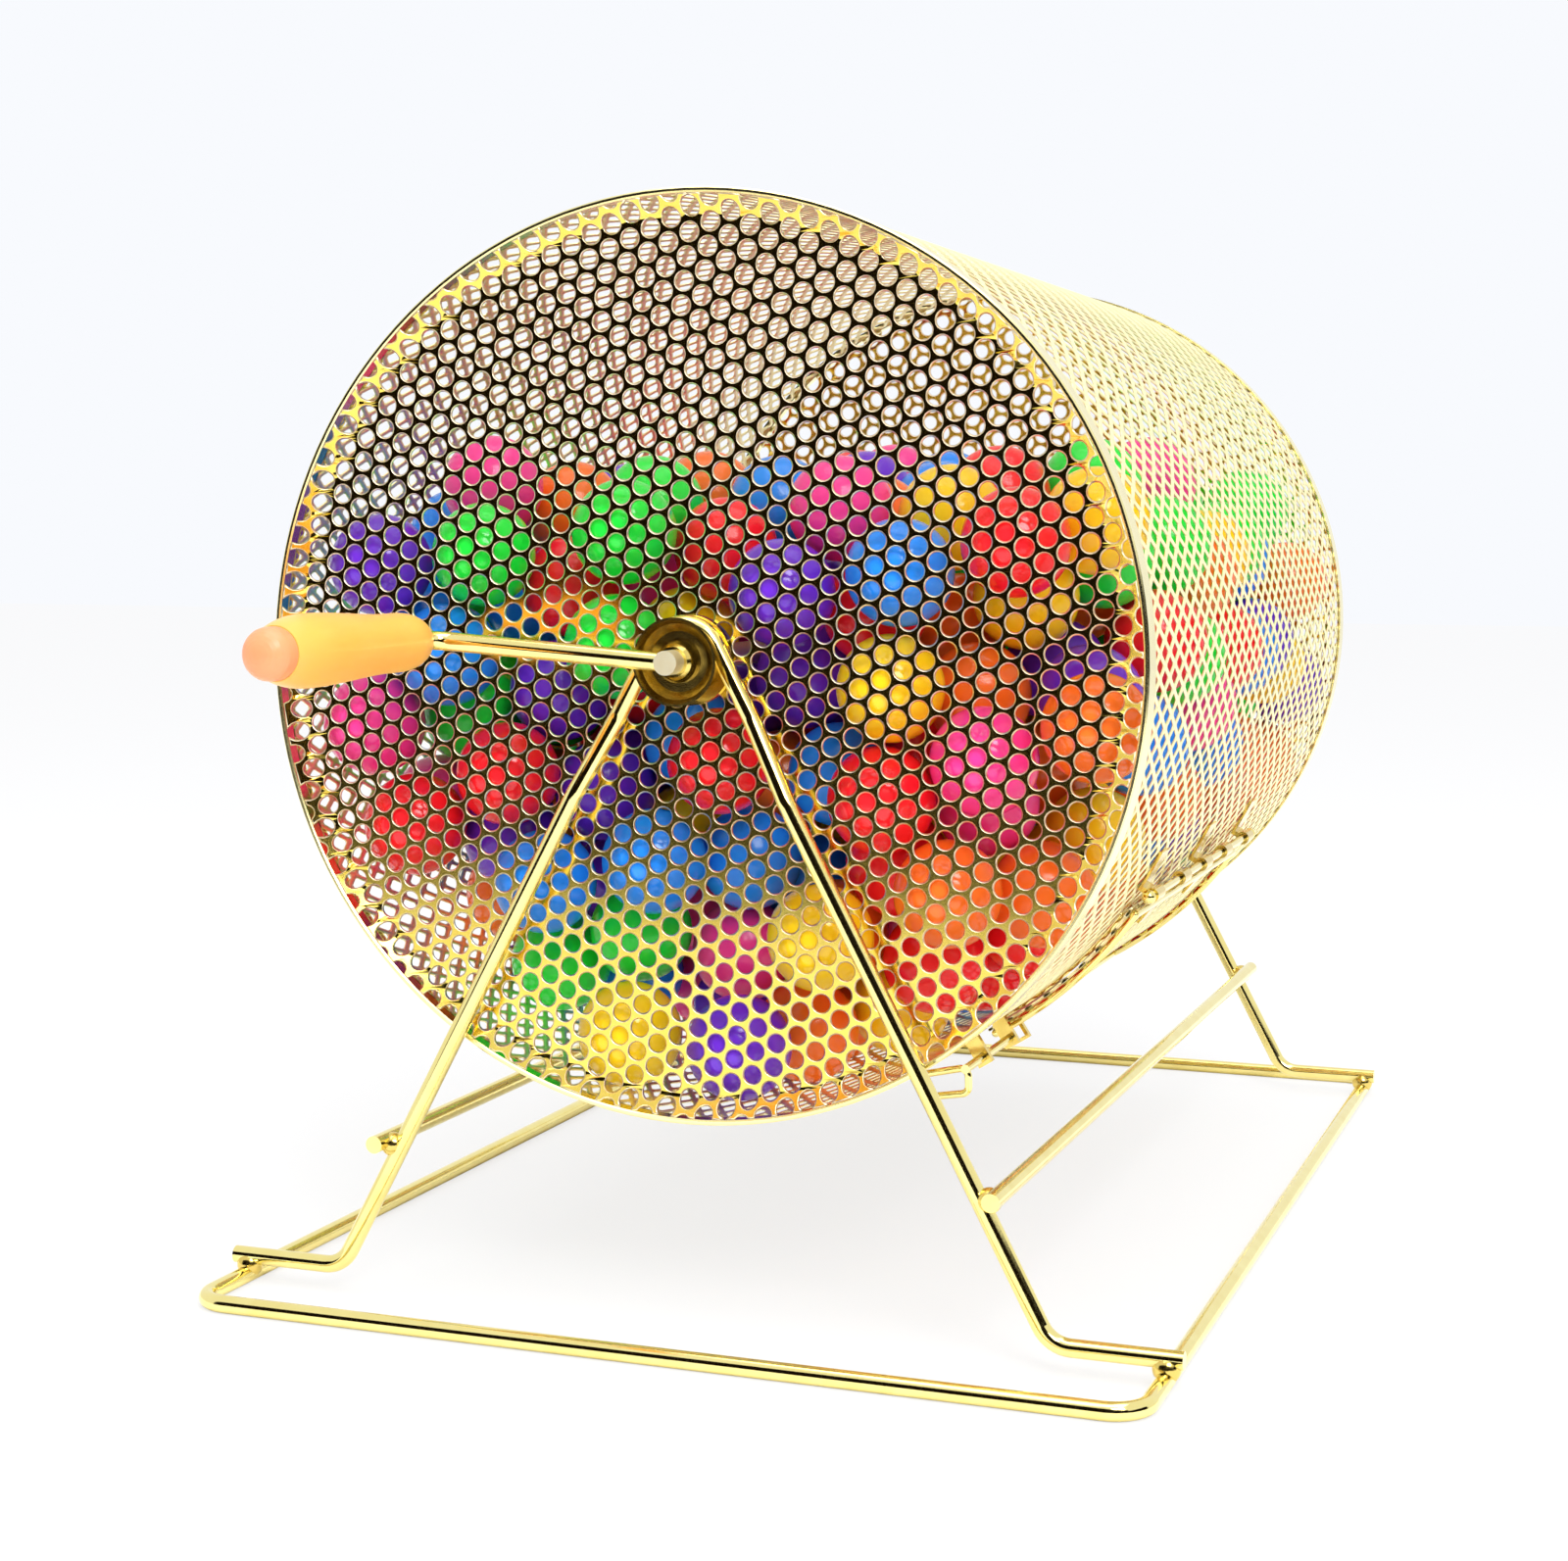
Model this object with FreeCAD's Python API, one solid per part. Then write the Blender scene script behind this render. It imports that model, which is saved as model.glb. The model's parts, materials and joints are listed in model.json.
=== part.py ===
import FreeCAD, Part
import math
import os
import random

# Raffle drum with crank: a perforated round drum of coloured balls on a bent wire stand.
# Millimetres, +Z up. The origin is the centre of the base loop on the resting plane.
# The drum axle runs along Y and the crank end faces -Y.

# Drum
drum_radius = 154.0
drum_length = 420.0
axle_height = 222.0
rim_thickness = 0.7
rim_width = 10.0
rim_hem_thickness = 1.8
rim_edge_round = 0.5
sheet_inset = 5.0
wall_thickness = 0.8
sheet_thickness = 0.8
seat_clearance = 0.1

# Perforation of the end sheets
hole_diameter = 6.0
hole_pitch = 8.0
hole_row_tilt = 6.9
hole_start_x = 30.55
hole_start_z = 108.0
hole_field_margin = 4.0

# Axle and hubs
axle_diameter = 8.0
axle_bore_clearance = 0.05
running_gap = 0.3
sleeve_diameter = 18.0
sleeve_length = 7.5
flange_diameter = 30.0
flange_thickness = 1.5
hub_nut_width = 13.0
hub_nut_height = 6.5
cup_diameter = 29.0
cup_depth = 5.2
cup_wall = 0.8
cup_flare = 4.5
cup_lip = 1.2
collar_diameter = 14.0
collar_length = 5.2
collar_bevel = 2.0
cap_nut_dome = 4.6
cap_nut_bevel = 0.4

# Stand
wire_diameter = 6.0
base_half_width = 163.0
base_front_reach = 42.0
base_rear_reach = 47.0
base_corner_radius = 12.0
front_leg_reach = 5.5
rear_leg_reach = 22.0
foot_bend_x = 126.0
foot_end_x = 168.5
foot_bend_radius = 11.0
knee_high_drop = 19.0
knee_low_drop = 45.0
knee_radius = 14.0
rail_drop = 169.8
rail_overhang = 9.0
weld_gap = 0.1
weld_cut = 0.02
foot_bead_radius = 4.6
rail_bead_radius = 4.2
sleeve_bead_radius = 1.3

# Crank and grip
crank_diameter = 6.35
crank_throw = 86.0
crank_rise = 4.0
crank_reach = 14.0
crank_bend_radius = 8.0
axle_past_crank = 3.6
grip_length = 92.0
grip_cap_length = 10.0
grip_cap_radius = 8.2
grip_start_gap = 0.6
grip_pocket_depth = 8.0
grip_pocket_radius = 5.6
grip_plug_depth = 3.2
retainer_thickness = 1.2
retainer_radius = 5.1
spindle_past_retainer = 1.2

# Door in the drum wall, with angles measured downwards from +X round the axle
door_front = 100.0
door_length = 190.0
hinge_angle = 32.0
hinge_radius = 158.4
hinge_rod_diameter = 3.0
hinge_rod_overhang = 4.0
hinge_knob_diameter = 5.0
hinge_eye_diameter = 5.2
hinge_eye_length = 12.0
hinge_eye_bore_clearance = 0.1
hinge_leaf_thickness = 1.0
hinge_leaf_angle = 5.5
hinge_web_width = 2.0
door_start_angle = 34.8
door_end_angle = 60.6
door_overlap = 4.5
door_thickness = 0.8
door_lift = 0.6
door_wire_diameter = 3.0
surround_wire_diameter = 2.4
surround_wire_sink = 0.1

# Latch bolt beside the door
bolt_diameter = 3.0
bolt_radius = 161.0
bolt_angle = 57.8
bolt_past_handle = 2.5
bolt_travel = 14.0
bolt_tip_gap = 3.0
bolt_clearance = 0.1
keeper_thickness = 2.5
keeper_width = 5.5
keeper_wall = 1.2
keeper_from_door = 5.5
keeper_spacing = 35.0
staple_from_door = 3.5
staple_strap = 1.3
staple_clearance = 0.6
handle_wire_diameter = 2.5
handle_corner_radius = 2.6
handle_stop_gap = 1.5

# Balls
ball_diameter = 36.0
ball_wall = 0.5
ball_gap = 0.4
ball_count = 455
ball_fill_height = 60.0
ball_seed = 11
settling_sweeps = 150
neighbour_sweeps = 10
neighbour_margin = 12.0

# Derived places
base_length = base_front_reach + drum_length + base_rear_reach
front_y = base_front_reach - base_length / 2
wire_radius = wire_diameter / 2
axle_radius = axle_diameter / 2
rim_inner = drum_radius - rim_thickness
wall_outer = rim_inner - seat_clearance
wall_inner = wall_outer - wall_thickness
sheet_back = sheet_inset + sheet_thickness
sleeve_start = sheet_inset - flange_thickness - running_gap
arch_radius = sleeve_diameter / 2 + wire_radius + weld_gap
foot_z = 3 * wire_radius + weld_gap
arch_depth = sleeve_start - sleeve_length / 2
cup_start = sleeve_start - sleeve_length - running_gap
bore_radius = axle_radius + axle_bore_clearance
ball_radius = ball_diameter / 2


def at(x, y, z):
    return FreeCAD.Vector(x, y, z)


def along(distance):
    """Y of a station measured from the front rim plane towards the rear."""
    return front_y + distance


def round_axle(radius, angle, station):
    """Point on a circle round the axle, with the angle measured downwards from +X."""
    turn = math.radians(angle)
    return at(radius * math.cos(turn), along(station), axle_height - radius * math.sin(turn))


def save(name, shapes):
    """Write one node, as a single solid or as a group of separate solids."""
    shape = shapes if not isinstance(shapes, list) else Part.makeCompound(shapes)
    shape.exportStep("parts/" + name + ".step")


def rod(start, end, diameter):
    line = end - start
    return Part.makeCylinder(diameter / 2, line.Length, start, line)


def tube_on_axle(outer, inner, start, end):
    """Ring round the axle between two stations."""
    low = min(start, end)
    length = abs(end - start)
    centre = at(0, along(low), axle_height)
    ring = Part.makeCylinder(outer, length, centre, at(0, 1, 0))
    return ring.cut(Part.makeCylinder(inner, length, centre, at(0, 1, 0)))


def turned(profile, x=0.0, z=axle_height):
    """Solid turned about an axis along Y, from (radius, y) points."""
    points = [at(x + radius, y, z) for radius, y in profile]
    face = Part.Face(Part.makePolygon(points + points[:1]))
    return face.revolve(at(x, 0, z), at(0, 1, 0), 360)


def hex_prism(width, start, length):
    """Hexagon nut blank on the axle."""
    corner = width / math.sqrt(3)
    points = []
    for index in range(7):
        turn = math.radians(60 * index + 30)
        points.append(at(corner * math.cos(turn), along(start), axle_height + corner * math.sin(turn)))
    return Part.Face(Part.makePolygon(points)).extrude(at(0, length, 0))


def rounded_path(points, radii):
    """Edges of straight runs joined by tangent arcs."""
    edges = []
    start = points[0]
    for index in range(1, len(points) - 1):
        corner = points[index]
        back = (points[index - 1] - corner).normalize()
        ahead = (points[index + 1] - corner).normalize()
        half = back.getAngle(ahead) / 2
        radius = radii[index - 1]
        first = corner + back * (radius / math.tan(half))
        last = corner + ahead * (radius / math.tan(half))
        inward = (back + ahead).normalize()
        middle = corner + inward * (radius / math.sin(half) - radius)
        edges.append(Part.LineSegment(start, first).toShape())
        edges.append(Part.Arc(first, middle, last).toShape())
        start = last
    edges.append(Part.LineSegment(start, points[-1]).toShape())
    return edges


def swept(edges, diameter, start, direction):
    """Round wire along a path of edges."""
    section = Part.Wire(Part.makeCircle(diameter / 2, start, direction))
    return Part.Wire(edges).makePipeShell([section], True, False)


def bent_rod(points, radii, diameter):
    return swept(rounded_path(points, radii), diameter, points[0], points[1] - points[0])


def sector(inner, outer, start_angle, end_angle, start, end):
    """Curved plate between two radii, two angles and two stations."""
    middle_angle = (start_angle + end_angle) / 2
    corners = []
    for radius in (inner, outer):
        corners.append([round_axle(radius, angle, start) for angle in (start_angle, middle_angle, end_angle)])
    low, high = corners
    edges = [
        Part.Arc(low[0], low[1], low[2]).toShape(),
        Part.LineSegment(low[2], high[2]).toShape(),
        Part.Arc(high[2], high[1], high[0]).toShape(),
        Part.LineSegment(high[0], low[0]).toShape(),
    ]
    return Part.Face(Part.Wire(edges)).extrude(at(0, end - start, 0))


def arc_rod(radius, start_angle, end_angle, station, diameter):
    """Wire bent round the axle at one station."""
    middle_angle = (start_angle + end_angle) / 2
    points = [round_axle(radius, angle, station) for angle in (start_angle, middle_angle, end_angle)]
    turn = math.radians(start_angle)
    heading = at(-math.sin(turn), 0, -math.cos(turn))
    return swept([Part.Arc(points[0], points[1], points[2]).toShape()], diameter, points[0], heading)


# Stand pieces

leg_distance = math.hypot(foot_bend_x, axle_height - foot_z)
leg_tilt = math.atan2(foot_bend_x, axle_height - foot_z) - math.asin(arch_radius / leg_distance)


def leg_point(drop, side, y):
    """Centre of a leg wire at one depth below the axle."""
    run = (arch_radius * math.sin(leg_tilt) + drop) / math.cos(leg_tilt)
    x = arch_radius * math.cos(leg_tilt) + run * math.sin(leg_tilt)
    return at(side * x, y, axle_height - drop)


def leg_frame(arch_y, leg_y):
    """One wire bent into two feet, two legs and an arch over the bearing sleeve."""
    halves = []
    for side in (-1, 1):
        rise = arch_radius * math.sin(leg_tilt)
        points = [
            at(side * foot_end_x, leg_y, foot_z),
            at(side * foot_bend_x, leg_y, foot_z),
            leg_point(knee_low_drop, side, leg_y),
            leg_point(knee_high_drop, side, arch_y),
            leg_point(-rise, side, arch_y),
        ]
        halves.append((points, rounded_path(points, [foot_bend_radius, knee_radius, knee_radius])))
    left, left_edges = halves[0]
    right, right_edges = halves[1]
    top = at(0, arch_y, axle_height + arch_radius)
    arch = Part.Arc(left[-1], top, right[-1]).toShape()
    right_edges.reverse()
    return swept(left_edges + [arch] + right_edges, wire_diameter, left[0], left[1] - left[0])


def base_loop():
    """Closed rectangular wire loop that the stand rests on."""
    x = base_half_width
    y = base_length / 2
    z = wire_radius
    corners = [at(x, y, z), at(-x, y, z), at(-x, -y, z), at(x, -y, z)]
    start = at(0, y, z)
    points = [start] + corners[1:] + corners[:1] + [start]
    edges = rounded_path(points, [base_corner_radius] * 4)
    return swept(edges, wire_diameter, start, at(-1, 0, 0))


def rail_place(side):
    """X and Z of a side rail, which lies on the outer side of the legs."""
    leg = leg_point(rail_drop, side, 0)
    offset = wire_diameter + weld_gap
    return leg.x + side * offset * math.cos(leg_tilt), leg.z + offset * math.sin(leg_tilt)


def side_rail(side):
    x, z = rail_place(side)
    start = at(x, along(-front_leg_reach - rail_overhang), z)
    end = at(x, along(drum_length + rear_leg_reach + rail_overhang), z)
    return rod(start, end, wire_diameter)


def bead(centre, radius, wires):
    """Weld bead cut by the wires that it joins."""
    shape = Part.makeSphere(radius, centre)
    for wire in wires:
        shape = shape.cut(wire)
    return max(shape.Solids, key=lambda solid: solid.Volume)


def local_rod(centre, direction, radius):
    """Short stand-in for the wire that a bead is cut by."""
    reach = at(*direction) * (4 * radius)
    return rod(centre - reach, centre + reach, wire_diameter + 2 * weld_cut)


def foot_beads():
    beads = []
    for leg_y in (along(-front_leg_reach), along(drum_length + rear_leg_reach)):
        for side in (-1, 1):
            x = side * base_half_width
            lower = local_rod(at(x, leg_y, wire_radius), (0, 1, 0), foot_bead_radius)
            upper = local_rod(at(x, leg_y, foot_z), (1, 0, 0), foot_bead_radius)
            middle = at(x, leg_y, (wire_radius + foot_z) / 2)
            beads.append(bead(middle, foot_bead_radius, [lower, upper]))
    return beads


def rail_beads():
    beads = []
    for leg_y in (along(-front_leg_reach), along(drum_length + rear_leg_reach)):
        for side in (-1, 1):
            leg = leg_point(rail_drop, side, leg_y)
            x, z = rail_place(side)
            slope = (side * math.sin(leg_tilt), 0, -math.cos(leg_tilt))
            leg_wire = local_rod(leg, slope, rail_bead_radius)
            rail_wire = local_rod(at(x, leg_y, z), (0, 1, 0), rail_bead_radius)
            middle = at((leg.x + x) / 2, leg_y, (leg.z + z) / 2)
            beads.append(bead(middle, rail_bead_radius, [leg_wire, rail_wire]))
    return beads


def sleeve_beads():
    """Three weld beads on the outer side of each bearing arch."""
    beads = []
    arch_cut = Part.makeTorus(arch_radius, wire_radius + weld_cut)
    arch_cut.rotate(at(0, 0, 0), at(1, 0, 0), 90)
    sleeve_cut = Part.makeCylinder(sleeve_diameter / 2 + weld_cut, 8 * wire_radius,
                                   at(0, -4 * wire_radius, 0), at(0, 1, 0))
    for station, outward in ((arch_depth, -1), (drum_length - arch_depth, 1)):
        centre = at(0, along(station), axle_height)
        for angle in (35, 90, 145):
            turn = math.radians(angle)
            radius = (sleeve_diameter + sleeve_bead_radius) / 2
            spot = at(radius * math.cos(turn), outward * (wire_radius - sleeve_bead_radius / 2),
                      radius * math.sin(turn))
            beads.append(bead(spot, sleeve_bead_radius, [arch_cut, sleeve_cut]).translate(centre))
    return beads


def bearing_sleeve(start, end):
    return tube_on_axle(sleeve_diameter / 2, bore_radius, start, end)


# Drum pieces

def end_sheet(station):
    """Round sheet with staggered holes and a hole for the axle."""
    y = along(station)
    normal = at(0, 1, 0)
    hole_radius = hole_diameter / 2
    field_radius = wall_outer - hole_field_margin
    hub_margin = axle_radius + hole_radius + 1
    wires = [Part.Wire(Part.makeCircle(wall_outer, at(0, y, axle_height), normal))]
    wires.append(Part.Wire(Part.makeCircle(bore_radius, at(0, y, axle_height), normal)))
    row = math.radians(hole_row_tilt)
    step = math.radians(hole_row_tilt + 60)
    reach = int(2.4 * field_radius / hole_pitch)
    for i in range(-reach, reach + 1):
        for j in range(-reach, reach + 1):
            x = hole_start_x - hole_pitch * (i * math.sin(row) + j * math.sin(step))
            z = hole_start_z - hole_pitch * (i * math.cos(row) + j * math.cos(step))
            if hub_margin < math.hypot(x, z) < field_radius:
                wires.append(Part.Wire(Part.makeCircle(hole_radius, at(x, y, axle_height + z), normal)))
    return Part.Face(wires).extrude(at(0, sheet_thickness, 0))


def rim(station, inward):
    """Hoop round the wall's edge, with a folded hem that stands in front of the end sheet."""
    hem_inner = drum_radius - rim_hem_thickness
    hem_end = sheet_inset - seat_clearance
    profile = [
        (hem_inner, rim_edge_round),
        (hem_inner + rim_edge_round, 0),
        (drum_radius - rim_edge_round, 0),
        (drum_radius, rim_edge_round),
        (drum_radius, rim_width),
        (rim_inner, rim_width),
        (rim_inner, hem_end),
        (hem_inner, hem_end),
    ]
    return turned([(radius, along(station) + inward * depth) for radius, depth in profile])


surround_radius = wall_outer - surround_wire_sink
surround_half_angle = math.degrees((surround_wire_diameter / 2 + seat_clearance) / surround_radius)
opening_start = door_start_angle + math.degrees(door_overlap / wall_outer)
opening_end = door_end_angle - math.degrees(door_overlap / wall_outer)
opening_front = door_front + door_overlap
opening_rear = door_front + door_length - door_overlap


def drum_wall():
    """Thin round wall with the opening for the door."""
    wall = tube_on_axle(wall_outer, wall_inner, sheet_back + seat_clearance,
                        drum_length - sheet_back - seat_clearance)
    opening = sector(wall_inner - wall_thickness, wall_outer + wall_thickness,
                     opening_start, opening_end, opening_front, opening_rear)
    return wall.cut(opening)


def wire_frame(radius, start_angle, end_angle, front, rear, diameter):
    """Four-sided wire frame that follows the drum wall."""
    shapes = []
    for station in (front, rear):
        shapes.append(arc_rod(radius, start_angle, end_angle, station, diameter))
        for angle in (start_angle, end_angle):
            shapes.append(Part.makeSphere(diameter / 2, round_axle(radius, angle, station)))
    for angle in (start_angle, end_angle):
        shapes.append(rod(round_axle(radius, angle, front), round_axle(radius, angle, rear), diameter))
    return shapes[0].multiFuse(shapes[1:])


def door_surround():
    half = surround_wire_diameter / 2 + seat_clearance
    return wire_frame(surround_radius, opening_start + surround_half_angle, opening_end - surround_half_angle,
                      opening_front + half, opening_rear - half, surround_wire_diameter)


door_inner = wall_outer + surround_wire_diameter / 2 + door_lift
door_outer = door_inner + door_thickness
door_wire_radius = door_outer + seat_clearance + door_wire_diameter / 2
door_wire_inset = door_wire_diameter / 2
door_wire_angle = math.degrees(door_wire_inset / door_wire_radius)


def door_panel():
    return sector(door_inner, door_outer, door_start_angle, door_end_angle,
                  door_front, door_front + door_length)


def door_frame():
    return wire_frame(door_wire_radius, door_start_angle + door_wire_angle, door_end_angle - door_wire_angle,
                      door_front + door_wire_inset, door_front + door_length - door_wire_inset,
                      door_wire_diameter)


eye_bore = hinge_rod_diameter / 2 + hinge_eye_bore_clearance


def hinge_eye(station, leaf_inner, leaf_start, leaf_end):
    """Rolled eye on the hinge rod with a leaf on the wall or on the door."""
    start = round_axle(hinge_radius, hinge_angle, station)
    end = round_axle(hinge_radius, hinge_angle, station + hinge_eye_length)
    leaf = sector(leaf_inner, leaf_inner + hinge_leaf_thickness, leaf_start, leaf_end,
                  station, station + hinge_eye_length)
    web_angle = math.degrees(hinge_web_width / 2 / hinge_radius)
    web = sector(leaf_inner, hinge_radius, hinge_angle - web_angle, hinge_angle + web_angle,
                 station, station + hinge_eye_length)
    eye = rod(start, end, hinge_eye_diameter).multiFuse([leaf, web])
    return eye.cut(rod(start, end, 2 * eye_bore))


def drum_hinge_eyes():
    """Three eyes welded on the drum wall, at both ends and in the middle."""
    stations = (door_front, door_front + (door_length - hinge_eye_length) / 2,
                door_front + door_length - hinge_eye_length)
    return [hinge_eye(station, wall_outer + seat_clearance, hinge_angle - hinge_leaf_angle, hinge_angle)
            for station in stations]


def door_hinge_eyes():
    """Two eyes on the door, clear of the door's wire frame."""
    quarter = door_length / 4
    shapes = []
    frame_cut = rod(round_axle(door_wire_radius, door_start_angle + door_wire_angle, door_front),
                    round_axle(door_wire_radius, door_start_angle + door_wire_angle, door_front + door_length),
                    door_wire_diameter + 2 * weld_cut)
    for station in (door_front + quarter, door_front + 3 * quarter - hinge_eye_length):
        leaf_end = door_start_angle + hinge_leaf_angle
        eye = hinge_eye(station, door_outer + weld_cut, hinge_angle, leaf_end)
        eye = eye.cut(frame_cut)
        shapes.extend(eye.Solids)
    return shapes


def hinge_rod():
    start = door_front - hinge_rod_overhang
    end = door_front + door_length + hinge_rod_overhang
    shaft = rod(round_axle(hinge_radius, hinge_angle, start), round_axle(hinge_radius, hinge_angle, end),
                hinge_rod_diameter)
    knobs = [Part.makeSphere(hinge_knob_diameter / 2, round_axle(hinge_radius, hinge_angle, station))
             for station in (start, end)]
    return shaft.multiFuse(knobs)


keeper_near = door_front - keeper_from_door - keeper_thickness
bolt_tip = door_front - bolt_tip_gap
bolt_bore = bolt_diameter / 2 + bolt_clearance


def eye_block(station, base_radius):
    """Welded block with a round eye for the latch bolt."""
    half = math.degrees(keeper_width / 2 / bolt_radius)
    top = bolt_radius + bolt_bore + keeper_wall
    block = sector(base_radius, top, bolt_angle - half, bolt_angle + half,
                   station, station + keeper_thickness)
    bore = rod(round_axle(bolt_radius, bolt_angle, station - keeper_wall),
               round_axle(bolt_radius, bolt_angle, station + keeper_thickness + keeper_wall), 2 * bolt_bore)
    return block.cut(bore)


def bolt_keepers():
    return [eye_block(station, wall_outer + seat_clearance)
            for station in (keeper_near - keeper_spacing, keeper_near)]


def door_staple():
    """Bent strap on the door that bridges the bolt when it is pushed in."""
    station = door_front + staple_from_door
    base = door_outer + seat_clearance
    hollow = bolt_diameter / 2 + staple_clearance
    slot = math.degrees(hollow / bolt_radius)
    leg = math.degrees(staple_strap / bolt_radius)
    strap = sector(base, bolt_radius + hollow + staple_strap, bolt_angle - slot - leg, bolt_angle + slot + leg,
                   station, station + keeper_thickness)
    return strap.cut(sector(base - staple_strap, bolt_radius + hollow, bolt_angle - slot, bolt_angle + slot,
                            station - staple_strap, station + keeper_thickness + staple_strap))


# Corners of the loop handle, as (round the drum, away from the axle) from the bolt's centre line.
handle_corners = ((17.0, -6.0), (20.0, 1.0), (4.5, 7.5), (0.0, 0.0))
handle_station = keeper_near - keeper_spacing - handle_stop_gap - handle_wire_diameter / 2 - bolt_travel


def latch_bolt():
    """Bolt rod with a loop handle, which stops at the far keeper when the bolt is fully in."""
    turn = math.radians(bolt_angle)
    sideways = at(-math.sin(turn), 0, -math.cos(turn))
    outwards = at(math.cos(turn), 0, -math.sin(turn))
    centre = round_axle(bolt_radius, bolt_angle, handle_station)
    corners = [centre + sideways * across + outwards * out for across, out in handle_corners]
    start = (corners[-1] + corners[0]) * 0.5
    edges = rounded_path([start] + corners + [start], [handle_corner_radius] * len(corners))
    loop = swept(edges, handle_wire_diameter, start, corners[0] - start)
    tail = handle_station - handle_wire_diameter / 2 - bolt_past_handle
    shaft = rod(round_axle(bolt_radius, bolt_angle, tail), round_axle(bolt_radius, bolt_angle, bolt_tip),
                bolt_diameter)
    return shaft.fuse(loop)


# Hub pieces

def hub_pieces():
    """Washers, nuts, cups, collar and cap nut on the axle, front and rear alike."""
    outer_washers = []
    inner_washers = []
    nuts = []
    for mirrored in (False, True):
        def place(depth):
            return drum_length - depth if mirrored else depth
        washer_start = sheet_inset - flange_thickness
        outer_washers.append(tube_on_axle(flange_diameter / 2, bore_radius,
                                          place(washer_start), place(sheet_inset)))
        washer_end = sheet_back + flange_thickness
        inner_washers.append(tube_on_axle(flange_diameter / 2, bore_radius,
                                          place(sheet_back), place(washer_end)))
        nut_start = washer_end + (hub_nut_height if mirrored else 0)
        nut = hex_prism(hub_nut_width, place(nut_start), hub_nut_height)
        centre = at(0, along(place(nut_start)) - 1, axle_height)
        nuts.append(nut.cut(Part.makeCylinder(bore_radius, hub_nut_height + 2, centre, at(0, 1, 0))))
    save("hub_outer_washers", outer_washers)
    save("hub_inner_washers", inner_washers)
    save("hub_nuts", nuts)


def cup_washer(station, outward):
    """Dished washer that opens outwards."""
    outer = cup_diameter / 2
    floor = outer - cup_flare
    waist = cup_depth / 2
    profile = [
        (bore_radius, 0),
        (floor, 0),
        (outer - cup_lip, waist),
        (outer, cup_depth),
        (outer - cup_wall, cup_depth),
        (outer - cup_lip - cup_wall, waist),
        (floor, cup_wall),
        (bore_radius, cup_wall),
    ]
    return turned([(radius, along(station) + outward * depth) for radius, depth in profile])


def front_collar():
    """Domed collar that keeps the axle in its sleeve."""
    start = cup_start - cup_wall - seat_clearance
    outer = collar_diameter / 2
    profile = [
        (bore_radius, 0),
        (outer, 0),
        (outer, collar_length / 3),
        (outer - collar_bevel / 2, collar_length * 3 / 4),
        (outer - collar_bevel, collar_length),
        (bore_radius, collar_length),
    ]
    return turned([(radius, along(start) - depth) for radius, depth in profile])


def rear_cap_nut():
    """Domed nut on the rear end of the axle."""
    start = drum_length - cup_start + cup_wall + seat_clearance
    blank = hex_prism(hub_nut_width, start, hub_nut_height)
    dome_radius = hub_nut_width / 2 - cap_nut_bevel
    end = along(start) + hub_nut_height
    profile = [(0, end - cap_nut_bevel), (dome_radius, end - cap_nut_bevel)]
    steps = 6
    for index in range(steps):
        turn = math.pi / 2 * index / steps
        profile.append((dome_radius * math.cos(turn), end + cap_nut_dome * math.sin(turn)))
    profile.append((0, end + cap_nut_dome))
    bore = Part.makeCylinder(bore_radius, hub_nut_height + seat_clearance,
                             at(0, along(start), axle_height), at(0, 1, 0))
    return blank.fuse(turned(profile)).cut(bore)


def drum_axle():
    start = -crank_reach - axle_past_crank
    end = drum_length - cup_start + cup_wall + hub_nut_height
    return rod(at(0, along(start), axle_height), at(0, along(end), axle_height), axle_diameter)


# Crank pieces

rise_turn = math.radians(crank_rise)
grip_x = -crank_throw * math.cos(rise_turn)
grip_z = axle_height + crank_throw * math.sin(rise_turn)
grip_start = along(-crank_reach - crank_bend_radius - grip_start_gap)
retainer_start = grip_start - grip_length + grip_pocket_depth - running_gap
spindle_end = retainer_start - retainer_thickness - spindle_past_retainer


def crank_arm():
    """Bent rod welded to the side of the axle, with the spindle for the grip."""
    corner = at(grip_x, along(-crank_reach), grip_z)
    arm = bent_rod([at(0, along(-crank_reach), axle_height), corner, at(grip_x, spindle_end, grip_z)],
                   [crank_bend_radius], crank_diameter)
    cut = Part.makeCylinder(axle_radius + weld_cut, 6 * axle_diameter,
                            at(0, along(-crank_reach) - 3 * axle_diameter, axle_height), at(0, 1, 0))
    return max(arm.cut(cut).Solids, key=lambda solid: solid.Volume)


def grip():
    """Moulded handle that turns freely on the spindle, from (radius, depth) points of its outline."""
    outline = ((4.6, 0), (7.3, 3.5), (9.3, 10), (9.7, 22), (10.1, 38), (11.0, 55),
               (11.5, 70), (11.1, 81), (9.8, 88), (8.5, 92))
    stretch = grip_length / outline[-1][1]
    points = [at(grip_x + radius, grip_start - depth * stretch, grip_z) for radius, depth in outline]
    curve = Part.BSplineCurve()
    curve.interpolate(points)
    bore = crank_diameter / 2 + axle_bore_clearance
    end = grip_start - grip_length
    floor = end + grip_pocket_depth
    inside = [
        points[-1],
        at(grip_x + grip_pocket_radius, end, grip_z),
        at(grip_x + grip_pocket_radius, floor, grip_z),
        at(grip_x + bore, floor, grip_z),
        at(grip_x + bore, grip_start, grip_z),
        points[0],
    ]
    edges = [curve.toShape()]
    edges += [Part.LineSegment(inside[i], inside[i + 1]).toShape() for i in range(len(inside) - 1)]
    face = Part.Face(Part.Wire(edges))
    return face.revolve(at(grip_x, 0, grip_z), at(0, 1, 0), 360)


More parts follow.
